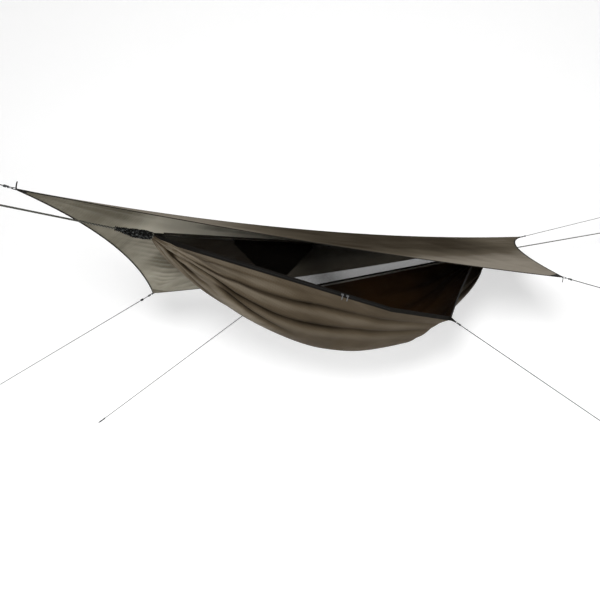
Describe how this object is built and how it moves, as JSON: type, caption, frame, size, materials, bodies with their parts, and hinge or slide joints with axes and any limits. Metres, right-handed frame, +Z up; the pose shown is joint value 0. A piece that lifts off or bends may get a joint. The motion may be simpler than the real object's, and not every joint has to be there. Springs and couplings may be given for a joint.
{
  "type": "hammock tent",
  "caption": "Hammock tent with a gathered-end bed, insect net, side zip, ridge line with pouch and hooks, and a separate diamond rain fly on its own lines.",
  "frame": {"origin": "inside the bight of the left main rope's eye, where the tree holds it", "axes": "+X along the ridge line towards the right tree, +Y away from the zipped side, +Z up"},
  "size_m": [6.122, 4.105, 1.7073],
  "materials": {
    "fly_near_cloth": "matte coated nylon, outer face",
    "fly_far_cloth": "matte coated nylon, inner face",
    "binding": "dull woven tape",
    "webbing": "dull woven nylon webbing",
    "body_cloth": "satin nylon ripstop",
    "insect_net": "dull fine mesh",
    "rope": "dull braided rope",
    "guy_cord": "dull braided cord",
    "ring_steel": "bright drawn wire",
    "zip_metal": "dark lacquered die casting",
    "zip_coil_plastic": "moulded coil",
    "pouch_cloth": "dull nylon",
    "sleeve_mesh": "dull mesh",
    "hook_plastic": "fine moulded grain"
  },
  "bodies": {
    "hammock": {"edge_tape_far": "webbing", "edge_tape_near": "webbing", "end_bundle_left": "body_cloth", "end_bundle_right": "body_cloth", "fly_cord_left": "guy_cord", "fly_cord_left_eye": "guy_cord", "fly_cord_right": "guy_cord", "fly_cord_right_eye": "guy_cord", "fly_corner_far": "webbing", "fly_corner_left": "webbing", "fly_corner_near": "webbing", "fly_corner_right": "webbing", "fly_edge_far": "binding", "fly_edge_near": "binding", "fly_far_panel": "fly_far_cloth", "fly_guy_far": "guy_cord", "fly_guy_far_eye": "guy_cord", "fly_guy_near": "guy_cord", "fly_guy_near_eye": "guy_cord", "fly_hem_far": "binding", "fly_hem_near": "binding", "fly_near_panel": "fly_near_cloth", "fly_ridge_seam": "binding", "fly_ring_far": "ring_steel", "fly_ring_left": "ring_steel", "fly_ring_near": "ring_steel", "fly_ring_right": "ring_steel", "hammock_body": "body_cloth", "main_rope_left": "rope", "main_rope_left_eye": "rope", "main_rope_right": "rope", "main_rope_right_eye": "rope", "net_far": "insect_net", "net_near": "insect_net", "ridge_line": "rope", "side_guy_far": "guy_cord", "side_guy_far_eye": "guy_cord", "side_guy_near": "guy_cord", "side_guy_near_eye": "guy_cord", "tie_out_far": "webbing", "tie_out_near": "webbing", "zip_coil": "zip_coil_plastic"},
    "slider_left": {"zip_slider_left": "zip_metal"},
    "slider_right": {"zip_slider_right": "zip_metal"},
    "pull_left": {"zip_pull_left": "zip_metal"},
    "pull_right": {"zip_pull_right": "zip_metal"},
    "pouch_hanger": {"pouch_clip_left": "hook_plastic", "pouch_clip_right": "hook_plastic"},
    "pouch": {"ridge_pouch": "pouch_cloth"},
    "hook_left": {"ridge_hook_left": "hook_plastic"},
    "hook_right": {"ridge_hook_right": "hook_plastic"},
    "sleeve_left": {"mesh_sleeve_left": "sleeve_mesh"},
    "sleeve_right": {"mesh_sleeve_right": "sleeve_mesh"},
    "line_adjuster": {"guy_adjuster": "hook_plastic"}
  },
  "joints": [
    {"name": "slider_left_slide", "type": "slide", "parent": "hammock", "child": "slider_left", "axis": [0.9175, -0.2949, -0.2668], "range_m": [-0.85, 0]},
    {"name": "slider_right_slide", "type": "slide", "parent": "hammock", "child": "slider_right", "axis": [0.9175, -0.2949, -0.2668], "range_m": [0, 0.28]},
    {"name": "pull_left_hinge", "type": "hinge", "parent": "slider_left", "child": "pull_left", "pos_m": [1.90844, -0.33693, -0.41611], "axis": [-0.9175, 0.2949, 0.2668], "range_deg": [0, 150]},
    {"name": "pull_right_hinge", "type": "hinge", "parent": "slider_right", "child": "pull_right", "pos_m": [1.93963, -0.34695, -0.42518], "axis": [-0.9175, 0.2949, 0.2668], "range_deg": [0, 150]},
    {"name": "pouch_slide", "type": "slide", "parent": "hammock", "child": "pouch_hanger", "axis": [1, 0, 0], "range_m": [-0.1, 0.02]},
    {"name": "pouch_swing", "type": "hinge", "parent": "pouch_hanger", "child": "pouch", "pos_m": [1.69799, 0, -0.11067], "axis": [1, 0, 0], "range_deg": [-30, 30]},
    {"name": "hook_left_slide", "type": "slide", "parent": "hammock", "child": "hook_left", "axis": [1, 0, 0], "range_m": [-0.04, 0]},
    {"name": "hook_right_slide", "type": "slide", "parent": "hammock", "child": "hook_right", "axis": [1, 0, 0], "range_m": [0, 1.5]},
    {"name": "sleeve_left_slide", "type": "slide", "parent": "hammock", "child": "sleeve_left", "axis": [-0.9918, 0, 0.1279], "range_m": [0, 0.35]},
    {"name": "sleeve_right_slide", "type": "slide", "parent": "hammock", "child": "sleeve_right", "axis": [0.9918, 0, 0.1279], "range_m": [0, 0.35]},
    {"name": "line_adjuster_slide", "type": "slide", "parent": "hammock", "child": "line_adjuster", "axis": [-0.238, 0.8869, -0.396], "range_m": [0, 0.6]}
  ]
}
